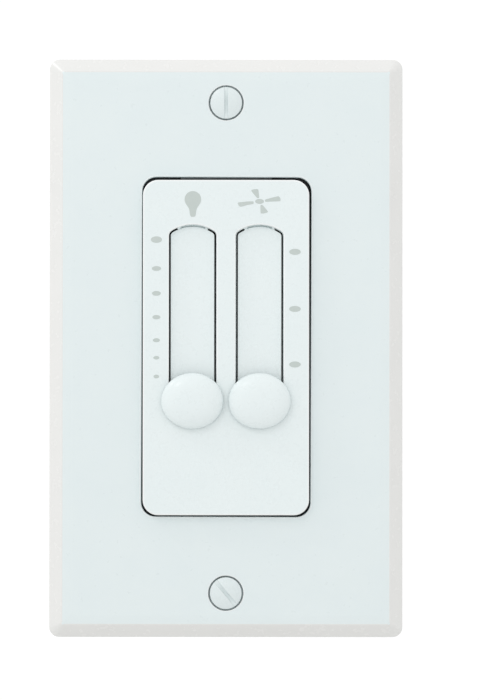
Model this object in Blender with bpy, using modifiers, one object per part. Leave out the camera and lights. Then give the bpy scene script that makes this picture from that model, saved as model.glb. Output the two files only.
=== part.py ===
"""A dual slide control for one wall box: a light dimmer on the left and a fan speed switch on the right.

Metres. +X is right as seen from the front, +Z is up and +Y points into the wall.
The origin is the centre of the wall opening, in the plane of the wall.
"""

import math

import bmesh
import bpy
from mathutils import Vector

# Wall plate
PLATE_WIDTH = 0.06985
PLATE_HEIGHT = 0.1143
PLATE_FRONT = -0.0056
PLATE_CORNER = 0.0020
BEVEL_WIDTH = 0.0026
BEVEL_DROP = 0.0022
PLATE_SKIN = 0.0022
PLATE_RIM = 0.0024
OPENING_WIDTH = 0.0335
OPENING_HEIGHT = 0.0669
OPENING_CORNER = 0.0030
PLATE_SCREW_Z = 0.04842

# Bezel with its two channels
FIT_GAP = 0.00035
BEZEL_FRONT = -0.0072
BEZEL_BACK = -0.0016
BEZEL_SKIN = 0.0018
BEZEL_WALL = 0.0015
CHANNEL_X = 0.00662
CHANNEL_WIDTH = 0.0093
CHANNEL_CORNER = 0.00095
CHANNEL_CROWN = 0.0077
CHANNEL_APEX_Z = 0.0243
CHANNEL_BOTTOM_Z = -0.0140
CHANNEL_FLOOR = -0.0061
CHANNEL_FLOOR_BACK = -0.0040
SLIT = 0.00045
RAIL_NECK = 0.0031

# Sliders: rest is off, at the bottom
KNOB_Z = -0.0105
KNOB_WIDTH = 0.0122
KNOB_HEIGHT = 0.01095
KNOB_BASE = -0.0075
KNOB_FRONT = -0.0099
KNOB_WALL = 0.0013
LIGHT_TRAVEL = 0.0314
FAN_LOW = 0.0072
FAN_MEDIUM = 0.01815
FAN_HIGH = 0.0294
LEG_THICKNESS = 0.00025
LEG_LENGTH = 0.0032
SLIDE_GAP = 0.0001
LEVER_WIDTH = 0.0012
LEVER_LENGTH = 0.0026

# Yoke
YOKE_FRONT = -0.0013
YOKE_BODY_WIDTH = 0.0445
YOKE_BODY_HEIGHT = 0.0720
YOKE_EAR_WIDTH = 0.0240
YOKE_HEIGHT = 0.1060
DEVICE_SCREW_Z = 0.04166
GROUND_X = -0.0082
GROUND_Z = -0.0462

# Housing and board
HOUSING_FRONT = 0.0003
HOUSING_BACK = 0.0312
HOUSING_WIDTH = 0.0430
HOUSING_HEIGHT = 0.0670
HOUSING_WALL = 0.0018
HOUSING_CORNER = 0.0022
COLUMN_SIDE = 0.0052
COLUMN_INSET = 0.0028
HOUSING_SCREW_X = 0.0192
HOUSING_SCREW_Z = 0.0307
BOARD_FRONT = 0.0084
BOARD_BACK = 0.0100
BOARD_WIDTH = 0.0340
BOARD_HEIGHT = 0.0560
GROMMET_X = 0.0
GROMMET_Z = 0.0230
TRIAC_X = -0.0065
TRIAC_Z = -0.0215
TRIMMER_X = 0.0075
TRIMMER_Z = -0.0240

# Slide elements behind the yoke
FRAME_FRONT = 0.0006
FRAME_BACK = 0.0080
FRAME_WIDTH = 0.0100
FRAME_LOW_Z = KNOB_Z - 0.0065
FRAME_HIGH_Z = KNOB_Z + LIGHT_TRAVEL + 0.0065
LEVER_PATH_Z = KNOB_Z + LIGHT_TRAVEL / 2
LEVER_PATH = LIGHT_TRAVEL + LEVER_LENGTH + 0.0032
FRAME_WALL = 0.0008
BLOCK_WIDTH = 0.0076
BLOCK_LENGTH = 0.0070
BLOCK_FRONT = FRAME_FRONT + FRAME_WALL + SLIDE_GAP
BLOCK_BACK = BLOCK_FRONT + 0.0030
BOARD_SKIN = 0.0010
CONTACT_FACE = FRAME_BACK - BOARD_SKIN - 0.0004

# Clearance between pieces that rest on each other
REST = 0.0003
ARC_STEPS = 6

PLASTIC = ("white_plastic", (0.86, 0.88, 0.88), 0.35, 0.0)
STEEL = ("zinc_plated_steel", (0.72, 0.73, 0.72), 0.35, 1.0)
WHITE_STEEL = ("white_painted_steel", (0.84, 0.86, 0.86), 0.30, 0.0)
SPRING_STEEL = ("spring_steel", (0.55, 0.55, 0.56), 0.30, 1.0)
ALUMINIUM = ("black_anodised_aluminium", (0.04, 0.04, 0.045), 0.45, 0.6)
BRASS = ("brass", (0.80, 0.62, 0.30), 0.30, 1.0)
GREEN_STEEL = ("green_steel", (0.05, 0.35, 0.12), 0.40, 0.6)
BLACK_PLASTIC = ("black_plastic", (0.03, 0.03, 0.03), 0.50, 0.0)
GREY_PLASTIC = ("grey_plastic", (0.30, 0.31, 0.32), 0.50, 0.0)
BOARD_RESIN = ("board_resin", (0.10, 0.28, 0.14), 0.45, 0.0)
PHENOLIC = ("phenolic_board", (0.42, 0.27, 0.13), 0.60, 0.0)
CARBON = ("carbon_track", (0.05, 0.05, 0.055), 0.70, 0.0)
FIBRE = ("red_fibre", (0.45, 0.10, 0.07), 0.80, 0.0)
RUBBER = ("black_rubber", (0.04, 0.04, 0.04), 0.80, 0.0)
FERRITE = ("ferrite", (0.16, 0.16, 0.17), 0.60, 0.0)
COPPER = ("enamelled_copper", (0.60, 0.25, 0.10), 0.30, 1.0)
YELLOW_FILM = ("yellow_film_case", (0.85, 0.65, 0.12), 0.45, 0.0)
RED_FILM = ("red_film_case", (0.55, 0.08, 0.05), 0.45, 0.0)
GLASS_AMBER = ("amber_glass", (0.70, 0.35, 0.12), 0.20, 0.0)
TAN_RESIN = ("tan_resin", (0.72, 0.58, 0.42), 0.50, 0.0)
BLUE_RESIN = ("blue_resin", (0.08, 0.18, 0.55), 0.45, 0.0)
MICA = ("mica", (0.75, 0.72, 0.62), 0.40, 0.0)


def clear_scene():
    for obj in list(bpy.data.objects):
        bpy.data.objects.remove(obj, do_unlink=True)
    for name in ("dimmer_slide_switch", "cutters"):
        made = bpy.data.collections.new(name)
        bpy.context.scene.collection.children.link(made)


def material(look):
    name, colour, roughness, metallic = look
    found = bpy.data.materials.get(name)
    if found:
        return found
    made = bpy.data.materials.new(name)
    made.use_nodes = True
    shader = made.node_tree.nodes["Principled BSDF"]
    shader.inputs["Base Color"].default_value = (*colour, 1.0)
    shader.inputs["Roughness"].default_value = roughness
    shader.inputs["Metallic"].default_value = metallic
    made.diffuse_color = (*colour, 1.0)
    return made


def link(obj, look, smooth=None):
    """Puts the object among the parts, or among the cutters when it has no look."""
    home = "dimmer_slide_switch" if look else "cutters"
    bpy.data.collections[home].objects.link(obj)
    if look is None:
        obj.hide_render = True
        obj.display_type = "WIRE"
        return obj
    obj.data.materials.clear()
    obj.data.materials.append(material(look))
    if smooth:
        obj.data.shade_smooth()
        obj.data.set_sharp_from_angle(angle=math.radians(smooth))
    return obj


def box(name, low, high, look=None):
    """A box between two opposite corners, with its origin at its centre."""
    low, high = Vector(low), Vector(high)
    mesh = bpy.data.meshes.new(name)
    shape = bmesh.new()
    bmesh.ops.create_cube(shape, size=1.0)
    bmesh.ops.scale(shape, verts=shape.verts, vec=high - low)
    shape.to_mesh(mesh)
    shape.free()
    obj = bpy.data.objects.new(name, mesh)
    obj.location = (low + high) / 2
    return link(obj, look)


def arc(centre, radius, start, end, steps=ARC_STEPS):
    """Points along an arc in the XZ plane, with both ends, angles in degrees from +X towards +Z."""
    points = []
    for i in range(steps + 1):
        angle = math.radians(start + (end - start) * i / steps)
        points.append((centre[0] + radius * math.cos(angle), centre[1] + radius * math.sin(angle)))
    return points


def rounded_rectangle(width, height, corner, centre=(0.0, 0.0), steps=ARC_STEPS):
    x, z = width / 2 - corner, height / 2 - corner
    points = []
    for number, (side_x, side_z) in enumerate(((1, 1), (-1, 1), (-1, -1), (1, -1))):
        middle = (centre[0] + side_x * x, centre[1] + side_z * z)
        points += arc(middle, corner, 90 * number, 90 * number + 90, steps)
    return points


def circle(x, z, radius, steps=24):
    return arc((x, z), radius, 0, 360, steps)[:-1]


def stadium(x, z, width, length, steps=8):
    """A slot with round ends, longer along Z."""
    reach = (length - width) / 2
    upper = arc((x, z + reach), width / 2, 0, 180, steps)
    lower = arc((x, z - reach), width / 2, 180, 360, steps)
    return upper + lower


def slab(name, outlines, front, back, look=None, smooth=None):
    """A flat piece between two depths: the first outline is its edge and the others are its holes."""
    curve = bpy.data.curves.new(name, "CURVE")
    curve.dimensions = "2D"
    curve.fill_mode = "BOTH"
    curve.extrude = (back - front) / 2
    for outline in outlines:
        spline = curve.splines.new("POLY")
        spline.points.add(len(outline) - 1)
        for point, (x, z) in zip(spline.points, outline):
            point.co = (x, z, 0.0, 1.0)
        spline.use_cyclic_u = True
    guide = bpy.data.objects.new(name + "_outline", curve)
    guide.location = (0.0, (front + back) / 2, 0.0)
    guide.rotation_euler = (math.pi / 2, 0.0, 0.0)
    return solid_from_curve(name, guide, look, smooth)


def solid_from_curve(name, guide, look, smooth):
    """Turns a curve object into a closed mesh object in the same place, and removes the curve."""
    bpy.context.scene.collection.objects.link(guide)
    bpy.context.view_layer.update()
    graph = bpy.context.evaluated_depsgraph_get()
    mesh = bpy.data.meshes.new_from_object(guide.evaluated_get(graph))
    mesh.name = name
    shape = bmesh.new()
    shape.from_mesh(mesh)
    bmesh.ops.remove_doubles(shape, verts=shape.verts, dist=1e-6)
    bmesh.ops.recalc_face_normals(shape, faces=shape.faces)
    shape.to_mesh(mesh)
    shape.free()
    obj = bpy.data.objects.new(name, mesh)
    obj.matrix_world = guide.matrix_world
    bpy.data.objects.remove(guide, do_unlink=True)
    return link(obj, look, smooth)


def turned(name, profile, centre, look=None, steps=24, axis="-Y", smooth=35):
    """A turned piece: profile points are (radius, height), from the top down its outer side.

    Heights run along the axis from the centre.
    """
    mesh = bpy.data.meshes.new(name)
    shape = bmesh.new()
    corners = [shape.verts.new((radius, 0.0, height)) for radius, height in profile]
    for first, second in zip(corners, corners[1:]):
        shape.edges.new((first, second))
    shape.to_mesh(mesh)
    shape.free()
    obj = bpy.data.objects.new(name, mesh)
    obj.location = centre
    obj.rotation_euler = ({"-Y": math.pi / 2, "+Y": -math.pi / 2, "+Z": 0.0}[axis], 0.0, 0.0)
    screw = obj.modifiers.new("turn", "SCREW")
    screw.axis = "Z"
    screw.angle = 2 * math.pi
    screw.steps = steps
    screw.render_steps = steps
    screw.use_merge_vertices = True
    screw.merge_threshold = 0.000001
    screw.use_smooth_shade = bool(smooth)
    return link(obj, look)


def washer_profile(outer, inner, low, high):
    """A ring's profile: up its bore and down its outer side, closed on itself."""
    return [(inner, high), (outer, high), (outer, low), (inner, low), (inner, high)]


def cut(obj, *cutters):
    for cutter in cutters:
        change = obj.modifiers.new("cut", "BOOLEAN")
        change.operation = "DIFFERENCE"
        change.solver = "EXACT"
        change.object = cutter


def join(obj, *added):
    for piece in added:
        change = obj.modifiers.new("join", "BOOLEAN")
        change.operation = "UNION"
        change.solver = "EXACT"
        change.object = piece


def keep_inside(obj, limit):
    change = obj.modifiers.new("keep", "BOOLEAN")
    change.operation = "INTERSECT"
    change.solver = "EXACT"
    change.object = limit


def parent_to(empty, *children):
    """Parents the pieces to the empty without moving them."""
    bpy.context.view_layer.update()
    for child in children:
        child.parent = empty
        child.matrix_parent_inverse = empty.matrix_world.inverted()


def axis_empty(name, place):
    empty = bpy.data.objects.new(name, None)
    empty.empty_display_size = 0.01
    empty.location = place
    bpy.data.collections["dimmer_slide_switch"].objects.link(empty)
    return empty


def bevelled_limit():
    """A block whose four sides slope in towards the front, as the plate's bevels do."""
    slope = BEVEL_WIDTH / BEVEL_DROP
    depth = 0.010
    limit = box(
        "plate_bevel_limit",
        (-PLATE_WIDTH / 2, PLATE_FRONT, -PLATE_HEIGHT / 2),
        (PLATE_WIDTH / 2, PLATE_FRONT + depth, PLATE_HEIGHT / 2),
    )
    for corner in limit.data.vertices:
        grow = -BEVEL_WIDTH if corner.co.y < 0 else slope * depth - BEVEL_WIDTH
        corner.co.x += grow * math.copysign(1.0, corner.co.x)
        corner.co.z += grow * math.copysign(1.0, corner.co.z)
    return limit


def wall_plate():
    outer = rounded_rectangle(PLATE_WIDTH, PLATE_HEIGHT, PLATE_CORNER)
    opening = rounded_rectangle(OPENING_WIDTH, OPENING_HEIGHT, OPENING_CORNER)
    plate = slab("wall_plate", [outer, opening], PLATE_FRONT, 0.0, PLASTIC, 30)
    keep_inside(plate, bevelled_limit())
    inner = rounded_rectangle(PLATE_WIDTH - 2 * PLATE_RIM, PLATE_HEIGHT - 2 * PLATE_RIM, 0.0010)
    hollow = slab("plate_hollow", [inner], PLATE_FRONT + PLATE_SKIN, 0.002)
    cut(plate, hollow)
    for name, side in (("upper", 1), ("lower", -1)):
        z = side * PLATE_SCREW_Z
        boss = slab("plate_boss_" + name, [circle(0, z, 0.0030)], PLATE_FRONT + 0.001, -0.0017)
        join(plate, boss)
        hole = [(0.0, 0.002), (0.0056, 0.002), (0.0021, -0.0015), (0.0021, -0.008), (0.0, -0.008)]
        cut(plate, turned("plate_screw_hole_" + name, hole, (0, PLATE_FRONT, z), steps=32))
    return plate


def slotted_screw(name, place, head_radius, shank_radius, length, look, slot_angle, oval=0.0006):
    """A countersunk oval-head screw. Its head's rim lies at the given place."""
    sink = 0.0013
    profile = [(0.0, oval)]
    for fraction in (0.4, 0.7, 0.9):
        profile.append((head_radius * fraction, oval * (1 - fraction**2)))
    profile += [(head_radius, 0.0), (head_radius, -0.0002), (shank_radius, -sink)]
    profile += [(shank_radius, -length + 0.0008), (shank_radius * 0.6, -length), (0.0, -length)]
    screw = turned(name, profile, place, look, steps=28)
    slot = box(name + "_slot", (-0.00052, -0.003, -0.01), (0.00052, 0.0009, 0.01))
    slot.location = Vector(place) + Vector((0.0, -0.0003, 0.0))
    slot.rotation_euler = (0.0, slot_angle, 0.0)
    cut(screw, slot)
    return screw


def pan_screw(name, place, head_radius, head_height, shank_radius, length, look, slot_angle=0.3):
    """A pan-head screw whose head sits in front of the given place."""
    profile = [(0.0, head_height), (head_radius * 0.8, head_height), (head_radius, head_height * 0.6)]
    profile += [(head_radius, 0.0), (shank_radius, 0.0), (shank_radius, -length + 0.0006)]
    profile += [(shank_radius * 0.6, -length), (0.0, -length)]
    screw = turned(name, profile, place, look, steps=24)
    slot = box(name + "_slot", (-0.0004, -0.003, -0.01), (0.0004, 0.0007, 0.01))
    slot.location = Vector(place) + Vector((0.0, -head_height, 0.0))
    slot.rotation_euler = (0.0, slot_angle, 0.0)
    cut(screw, slot)
    return screw


def channel_top(half_width, inset=0.0):
    """Half of a channel's top edge, from its right side up to its apex, drawn in by an inset.

    The small corner arc and the wide crown arc meet with a common tangent.
    """
    crown_centre = (0.0, CHANNEL_APEX_Z - CHANNEL_CROWN)
    corner_x = half_width - CHANNEL_CORNER
    meet = math.degrees(math.acos(corner_x / (CHANNEL_CROWN - CHANNEL_CORNER)))
    corner_centre = (corner_x, crown_centre[1] + corner_x * math.tan(math.radians(meet)))
    corner = arc(corner_centre, CHANNEL_CORNER - inset, 0, meet, 5)
    return corner + arc(crown_centre, CHANNEL_CROWN - inset, meet, 90, 8)[1:]


def channel_outline(x):
    right = channel_top(CHANNEL_WIDTH / 2)
    left = [(-px, pz) for px, pz in reversed(right[:-1])]
    lower = rounded_rectangle(CHANNEL_WIDTH, 0.02, 0.0016, (0.0, CHANNEL_BOTTOM_Z + 0.01), 4)
    lower = [point for point in lower if point[1] < CHANNEL_BOTTOM_Z + 0.002]
    return [(x + px, pz) for px, pz in right + left + lower]


def slit_outline(x, side):
    """The narrow gap between a channel's side and its rail, which turns in at the top."""
    half = CHANNEL_WIDTH / 2
    outer = [point for point in channel_top(half) if point[0] > RAIL_NECK]
    inner = [point for point in channel_top(half, SLIT) if point[0] > RAIL_NECK]
    start = CHANNEL_BOTTOM_Z + 0.0017
    outline = [(half, start)] + outer + inner[::-1] + [(half - SLIT, start)]
    return [(x + side * px, pz) for px, pz in outline]


def front_bezel():
    width = OPENING_WIDTH - 2 * FIT_GAP
    height = OPENING_HEIGHT - 2 * FIT_GAP
    corner = OPENING_CORNER - FIT_GAP
    edge = rounded_rectangle(width, height, corner)
    bezel = slab("front_bezel", [edge], BEZEL_FRONT, BEZEL_BACK, PLASTIC, 30)
    inner = rounded_rectangle(width - 2 * BEZEL_WALL, height - 2 * BEZEL_WALL, corner - BEZEL_WALL)
    cut(bezel, slab("bezel_hollow", [inner], BEZEL_FRONT + BEZEL_SKIN, 0.001))
    for side in (-1, 1):
        x = side * CHANNEL_X
        trough_edge = rounded_rectangle(0.0116, 0.0420, 0.0018, (x, 0.0051))
        trough = slab("bezel_trough", [trough_edge], BEZEL_FRONT + 0.001, CHANNEL_FLOOR_BACK)
        channel = slab("bezel_channel", [channel_outline(x)], BEZEL_FRONT - 0.001, CHANNEL_FLOOR)
        join(bezel, trough)
        cut(bezel, channel)
        for edge in (-1, 1):
            slit = slab("bezel_slit", [slit_outline(x, edge)], CHANNEL_FLOOR - 0.0003, 0.0)
            cut(bezel, slit)
    for side in (-1, 1):
        low, high = sorted((side * (height / 2 - 0.001), side * (height / 2 + 0.0023)))
        tab_front = PLATE_FRONT + PLATE_SKIN + REST
        join(bezel, box("bezel_tab", (-0.009, tab_front, low), (0.009, BEZEL_BACK, high)))
        for across in (-1, 1):
            pin_edge = circle(across * 0.0128, side * 0.0288, 0.0011, 16)
            join(bezel, slab("bezel_pin", [pin_edge], BEZEL_FRONT + 0.001, -0.0002))
    return bezel


def knob(name, x):
    """A domed oval button: a shell over two posts that hold the saddle's legs."""
    rim = 0.0007
    rise = KNOB_BASE - KNOB_FRONT
    radius = KNOB_WIDTH / 2

    def dome(shrink, steps):
        points = []
        for i in range(steps + 1):
            fraction = math.sin(math.pi / 2 * i / steps)
            height = rim + (rise - rim - shrink) * (1 - fraction**2.3) ** 0.62
            points.append(((radius - shrink) * fraction, height))
        return points

    place = (x, KNOB_BASE, KNOB_Z)
    outer = turned(name, dome(0.0, 9) + [(radius, 0.0), (0.0, 0.0)], place, PLASTIC, 40)
    inner_profile = dome(KNOB_WALL, 6) + [(radius - KNOB_WALL, -0.001), (0.0, -0.001)]
    inner = turned(name + "_hollow", inner_profile, place, steps=32)
    for obj in (outer, inner):
        obj.scale = (1.0, KNOB_HEIGHT / KNOB_WIDTH, 1.0)
    leg_middle = CHANNEL_WIDTH / 2 - SLIT / 2
    for side in (-1, 1):
        middle = x + side * (leg_middle - 0.0004)
        post = box(
            name + "_post",
            (middle - 0.0011, KNOB_BASE - 0.0021, KNOB_Z - 0.0024),
            (middle + 0.0011, KNOB_BASE + 0.0005, KNOB_Z + 0.0024),
        )
        cut(inner, post)
    cut(outer, inner)
    for side in (-1, 1):
        middle = x + side * leg_middle
        socket = box(
            name + "_socket",
            (middle - 0.00028, KNOB_BASE - 0.0016, KNOB_Z - LEG_LENGTH / 2 - 0.0002),
            (middle + 0.00028, KNOB_BASE + 0.0010, KNOB_Z + LEG_LENGTH / 2 + 0.0002),
        )
        cut(outer, socket)
    return outer


def saddle(name, x):
    """A sheet-metal saddle: two legs through the slits and a bridge behind the rail that holds the lever."""
    outer = CHANNEL_WIDTH / 2 - SLIDE_GAP
    inner = outer - LEG_THICKNESS
    bridge_front = CHANNEL_FLOOR_BACK + 0.00015
    bridge_back = bridge_front + LEG_THICKNESS
    low, high = KNOB_Z - LEG_LENGTH / 2, KNOB_Z + LEG_LENGTH / 2
    block = box(name, (x - outer, KNOB_BASE - 0.0013, low), (x + outer, bridge_back, high), SPRING_STEEL)
    gap_low, gap_high = (x - inner, -0.02, low - 0.001), (x + inner, bridge_front, high + 0.001)
    between = box(name + "_between", gap_low, gap_high)
    window = box(
        name + "_window",
        (x - LEVER_WIDTH / 2 - SLIDE_GAP, -0.006, KNOB_Z - LEVER_LENGTH / 2 - SLIDE_GAP),
        (x + LEVER_WIDTH / 2 + SLIDE_GAP, 0.001, KNOB_Z + LEVER_LENGTH / 2 + SLIDE_GAP),
    )
    cut(block, between, window)
    return block


def yoke_outline():
    """The strap's edge: a wide middle that carries the heat, and an ear at each end."""
    half_body, half_ear = YOKE_BODY_WIDTH / 2, YOKE_EAR_WIDTH / 2
    shoulder, end = YOKE_BODY_HEIGHT / 2, YOKE_HEIGHT / 2
    quarter = arc((half_body - 0.001, shoulder - 0.001), 0.001, 0, 90, 3)
    quarter += [(half_ear + 0.001, shoulder), (half_ear, shoulder + 0.001)]
    quarter += arc((half_ear - 0.003, end - 0.003), 0.003, 0, 90, 5)
    right = quarter
    left = [(-x, z) for x, z in reversed(quarter)]
    top = right + left
    return top + [(-x, -z) for x, z in top]


def yoke():
    holes = []
    for side in (-1, 1):
        holes.append([(z, x) for x, z in stadium(side * DEVICE_SCREW_Z, 0.0, 0.0044, 0.0068)][::-1])
        holes.append(circle(0.0, side * PLATE_SCREW_Z, 0.0019, 16))
        holes.append(stadium(side * CHANNEL_X, LEVER_PATH_Z, 0.0030, LEVER_PATH + 0.0010, 6))
        for across in (-1, 1):
            holes.append(circle(across * 0.0128, side * 0.0288, 0.0014, 12))
            holes.append(circle(across * HOUSING_SCREW_X, side * HOUSING_SCREW_Z, 0.0016, 12))
    holes.append(circle(GROUND_X, GROUND_Z, 0.0019, 12))
    holes.append(circle(TRIAC_X, TRIAC_Z, 0.0017, 12))
    holes.append(circle(TRIMMER_X, TRIMMER_Z, 0.0022, 16))
    return slab("yoke", [yoke_outline()] + holes, YOKE_FRONT, 0.0, ALUMINIUM)


def back_housing():
    edge = rounded_rectangle(HOUSING_WIDTH, HOUSING_HEIGHT, HOUSING_CORNER)
    housing = slab("back_housing", [edge], HOUSING_FRONT, HOUSING_BACK, BLACK_PLASTIC, 30)
    inner = rounded_rectangle(HOUSING_WIDTH - 2 * HOUSING_WALL, HOUSING_HEIGHT - 2 * HOUSING_WALL, 0.001)
    cut(housing, slab("housing_hollow", [inner], HOUSING_FRONT - 0.001, HOUSING_BACK - HOUSING_WALL))
    for x in (-1, 1):
        for z in (-1, 1):
            spot = (x * HOUSING_SCREW_X, z * HOUSING_SCREW_Z)
            middle = (x * (HOUSING_WIDTH / 2 - COLUMN_INSET), z * (HOUSING_HEIGHT / 2 - COLUMN_INSET))
            column = rounded_rectangle(COLUMN_SIDE, COLUMN_SIDE, 0.0020, middle, 3)
            join(housing, slab("housing_column", [column], HOUSING_FRONT, HOUSING_BACK - 0.0005))
            cut(housing, slab("housing_bore", [circle(*spot, 0.0014, 12)], HOUSING_FRONT - 0.001, 0.0120))
    hole = circle(GROMMET_X, GROMMET_Z, 0.0054, 24)
    cut(housing, slab("housing_lead_hole", [hole], HOUSING_BACK - 0.004, HOUSING_BACK + 0.002))
    return housing


def lead_grommet():
    """A flanged bushing in the back wall: a groove grips the wall and the leads pass through its bore."""
    bore, waist, flange = 0.0036, 0.0051, 0.0066
    front, back = HOUSING_BACK - HOUSING_WALL, HOUSING_BACK
    heights = (front - REST - 0.0011, front - REST, back + REST, back + REST + 0.0014)
    profile = [(bore, heights[3]), (flange - 0.0005, heights[3]), (flange, heights[2] + 0.0007)]
    profile += [(flange, heights[2]), (waist, heights[2]), (waist, heights[1]), (flange, heights[1])]
    profile += [(flange, heights[0]), (bore, heights[0]), (bore, heights[3])]
    return turned("lead_grommet", profile, (GROMMET_X, 0.0, GROMMET_Z), RUBBER, 28, axis="+Y")


def slide_frame(name, x, look, notches=False):
    """The open box that guides a slide element, with a slot in its front for the lever."""
    low, high = FRAME_LOW_Z, FRAME_HIGH_Z
    frame = box(name, (x - FRAME_WIDTH / 2, FRAME_FRONT, low), (x + FRAME_WIDTH / 2, FRAME_BACK, high), look)
    hollow = box(
        name + "_hollow",
        (x - FRAME_WIDTH / 2 + FRAME_WALL, FRAME_FRONT + FRAME_WALL, low + FRAME_WALL),
        (x + FRAME_WIDTH / 2 - FRAME_WALL, FRAME_BACK + 0.001, high - FRAME_WALL),
    )
    path = stadium(x, LEVER_PATH_Z, 0.0026, LEVER_PATH, 6)
    slot = slab(name + "_slot", [path], FRAME_FRONT - 0.001, FRAME_FRONT + 0.002)
    cut(frame, hollow, slot)
    if notches:
        for stop in (0.0, FAN_LOW, FAN_MEDIUM, FAN_HIGH):
            notch_edge = circle(x + FRAME_WIDTH / 2 - FRAME_WALL, KNOB_Z + stop, 0.0006, 12)
            cut(frame, slab(name + "_notch", [notch_edge], BLOCK_FRONT, FRAME_BACK - 0.0014))
    return frame


def element_board(name, x, look):
    """The strip that closes a slide frame's back and carries its contacts."""
    inset = FRAME_WALL + 0.0001
    return box(
        name,
        (x - FRAME_WIDTH / 2 + inset, FRAME_BACK - BOARD_SKIN - 0.0001, FRAME_LOW_Z + inset),
        (x + FRAME_WIDTH / 2 - inset, FRAME_BACK - 0.0001, FRAME_HIGH_Z - inset),
        look,
    )


def slider_block(name, x, look):
    """The moulded slider: a block in the frame, with a lever forwards to the saddle's window."""
    block = box(
        name,
        (x - BLOCK_WIDTH / 2, BLOCK_FRONT, KNOB_Z - BLOCK_LENGTH / 2),
        (x + BLOCK_WIDTH / 2, BLOCK_BACK, KNOB_Z + BLOCK_LENGTH / 2),
        look,
    )
    lever = box(
        name + "_lever",
        (x - LEVER_WIDTH / 2, CHANNEL_FLOOR_BACK + 0.0001, KNOB_Z - LEVER_LENGTH / 2),
        (x + LEVER_WIDTH / 2, BLOCK_FRONT + 0.001, KNOB_Z + LEVER_LENGTH / 2),
    )
    join(block, lever)
    return block


def contact_spring(name, x, look, arms):
    """A stamped spring under the slider: a plate with arms that lean back to the board."""
    front = BLOCK_BACK + 0.0001
    low, high = (x - 0.0030, front, KNOB_Z - 0.0030), (x + 0.0030, front + 0.0003, KNOB_Z + 0.0030)
    plate = box(name, low, high, look)
    for offset in arms:
        arm = box(
            name + "_arm",
            (x + offset - 0.0005, front + 0.0001, KNOB_Z - 0.0004),
            (x + offset + 0.0005, CONTACT_FACE - 0.0002, KNOB_Z + 0.0004),
        )
        join(plate, arm)
    return plate


def conductor(name, x, offset, low, high, width, look):
    """A flat conductor on the front of an element board."""
    back = CONTACT_FACE + 0.0002
    return box(name, (x + offset - width / 2, CONTACT_FACE, low), (x + offset + width / 2, back, high), look)


def detent_leaf():
    """A leaf spring on the fan slider. Its rounded bump sits in the notch for off."""
    x = CHANNEL_X + FRAME_WIDTH / 2 - FRAME_WALL
    front = BLOCK_BACK + 0.0002
    leaf_x = x - 0.00035
    leaf_edge = [(leaf_x, KNOB_Z - 0.0032), (leaf_x, KNOB_Z - 0.0006)]
    leaf_edge += [(x + 0.00015, KNOB_Z), (leaf_x, KNOB_Z + 0.0006), (leaf_x, KNOB_Z + 0.0032)]
    back_edge = [(px - 0.0002, pz) for px, pz in reversed(leaf_edge)]
    return slab("fan_detent_leaf", [leaf_edge + back_edge], front, front + 0.0010, SPRING_STEEL)


def light_element():
    x = -CHANNEL_X
    slide_frame("light_pot_frame", x, STEEL)
    element_board("light_pot_board", x, PHENOLIC)
    conductor("light_pot_track", x, -0.0020, KNOB_Z + 0.0020, KNOB_Z + 0.0350, 0.0018, CARBON)
    conductor("light_pot_collector", x, 0.0020, KNOB_Z - 0.0040, KNOB_Z + 0.0360, 0.0012, BRASS)
    block = slider_block("light_pot_slider", x, GREY_PLASTIC)
    wiper = contact_spring("light_pot_wiper", x, BRASS, (-0.0020, 0.0020))
    return block, wiper


def fan_element():
    x = CHANNEL_X
    slide_frame("fan_switch_frame", x, STEEL, notches=True)
    element_board("fan_switch_board", x, PHENOLIC)
    conductor("fan_common_rail", x, -0.0020, KNOB_Z - 0.0040, KNOB_Z + 0.0350, 0.0012, BRASS)
    for name, stop in (("low", FAN_LOW), ("medium", FAN_MEDIUM), ("high", FAN_HIGH)):
        middle = KNOB_Z + stop
        conductor("fan_" + name + "_contact", x, 0.0020, middle - 0.0022, middle + 0.0022, 0.0016, BRASS)
    block = slider_block("fan_switch_slider", x, GREY_PLASTIC)
    bridge = contact_spring("fan_bridge_contact", x, BRASS, (-0.0020, 0.0020))
    return block, bridge, detent_leaf()


def circuit_board():
    corners = rounded_rectangle(BOARD_WIDTH, BOARD_HEIGHT, 0.001, steps=2)
    trim_hole = circle(TRIMMER_X, TRIMMER_Z, 0.0014, 12)
    return slab("circuit_board", [corners, trim_hole], BOARD_FRONT, BOARD_BACK, BOARD_RESIN)


def triac():
    """A flat power package on its insulator, riveted to the back of the yoke."""
    x, hole_z = TRIAC_X, TRIAC_Z
    low, high = (x - 0.0055, REST, hole_z - 0.0097), (x + 0.0055, REST + 0.0002, hole_z + 0.0030)
    insulator = box("triac_insulator", low, high, MICA)
    tab_front = REST + 0.0002 + REST
    low, high = (x - 0.0050, tab_front, hole_z - 0.0094), (x + 0.0050, tab_front + 0.0012, hole_z + 0.0025)
    body = box("triac", low, high, STEEL)
    case = box(
        "triac_case",
        (x - 0.0050, tab_front + 0.0003, hole_z - 0.0094),
        (x + 0.0050, tab_front + 0.0042, hole_z - 0.0030),
    )
    join(body, case)
    hole = slab("triac_hole", [circle(x, hole_z, 0.0016, 16)], -0.001, 0.004)
    cut(insulator, hole)
    cut(body, hole)
    rivet_profile = [(0.0, 0.0007), (0.0020, 0.0007), (0.0025, 0.0), (0.00125, 0.0), (0.00125, -0.0047)]
    rivet_profile += [(0.0, -0.0047)]
    turned("triac_rivet", rivet_profile, (x, YOKE_FRONT - REST, hole_z), ALUMINIUM, 20)


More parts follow.
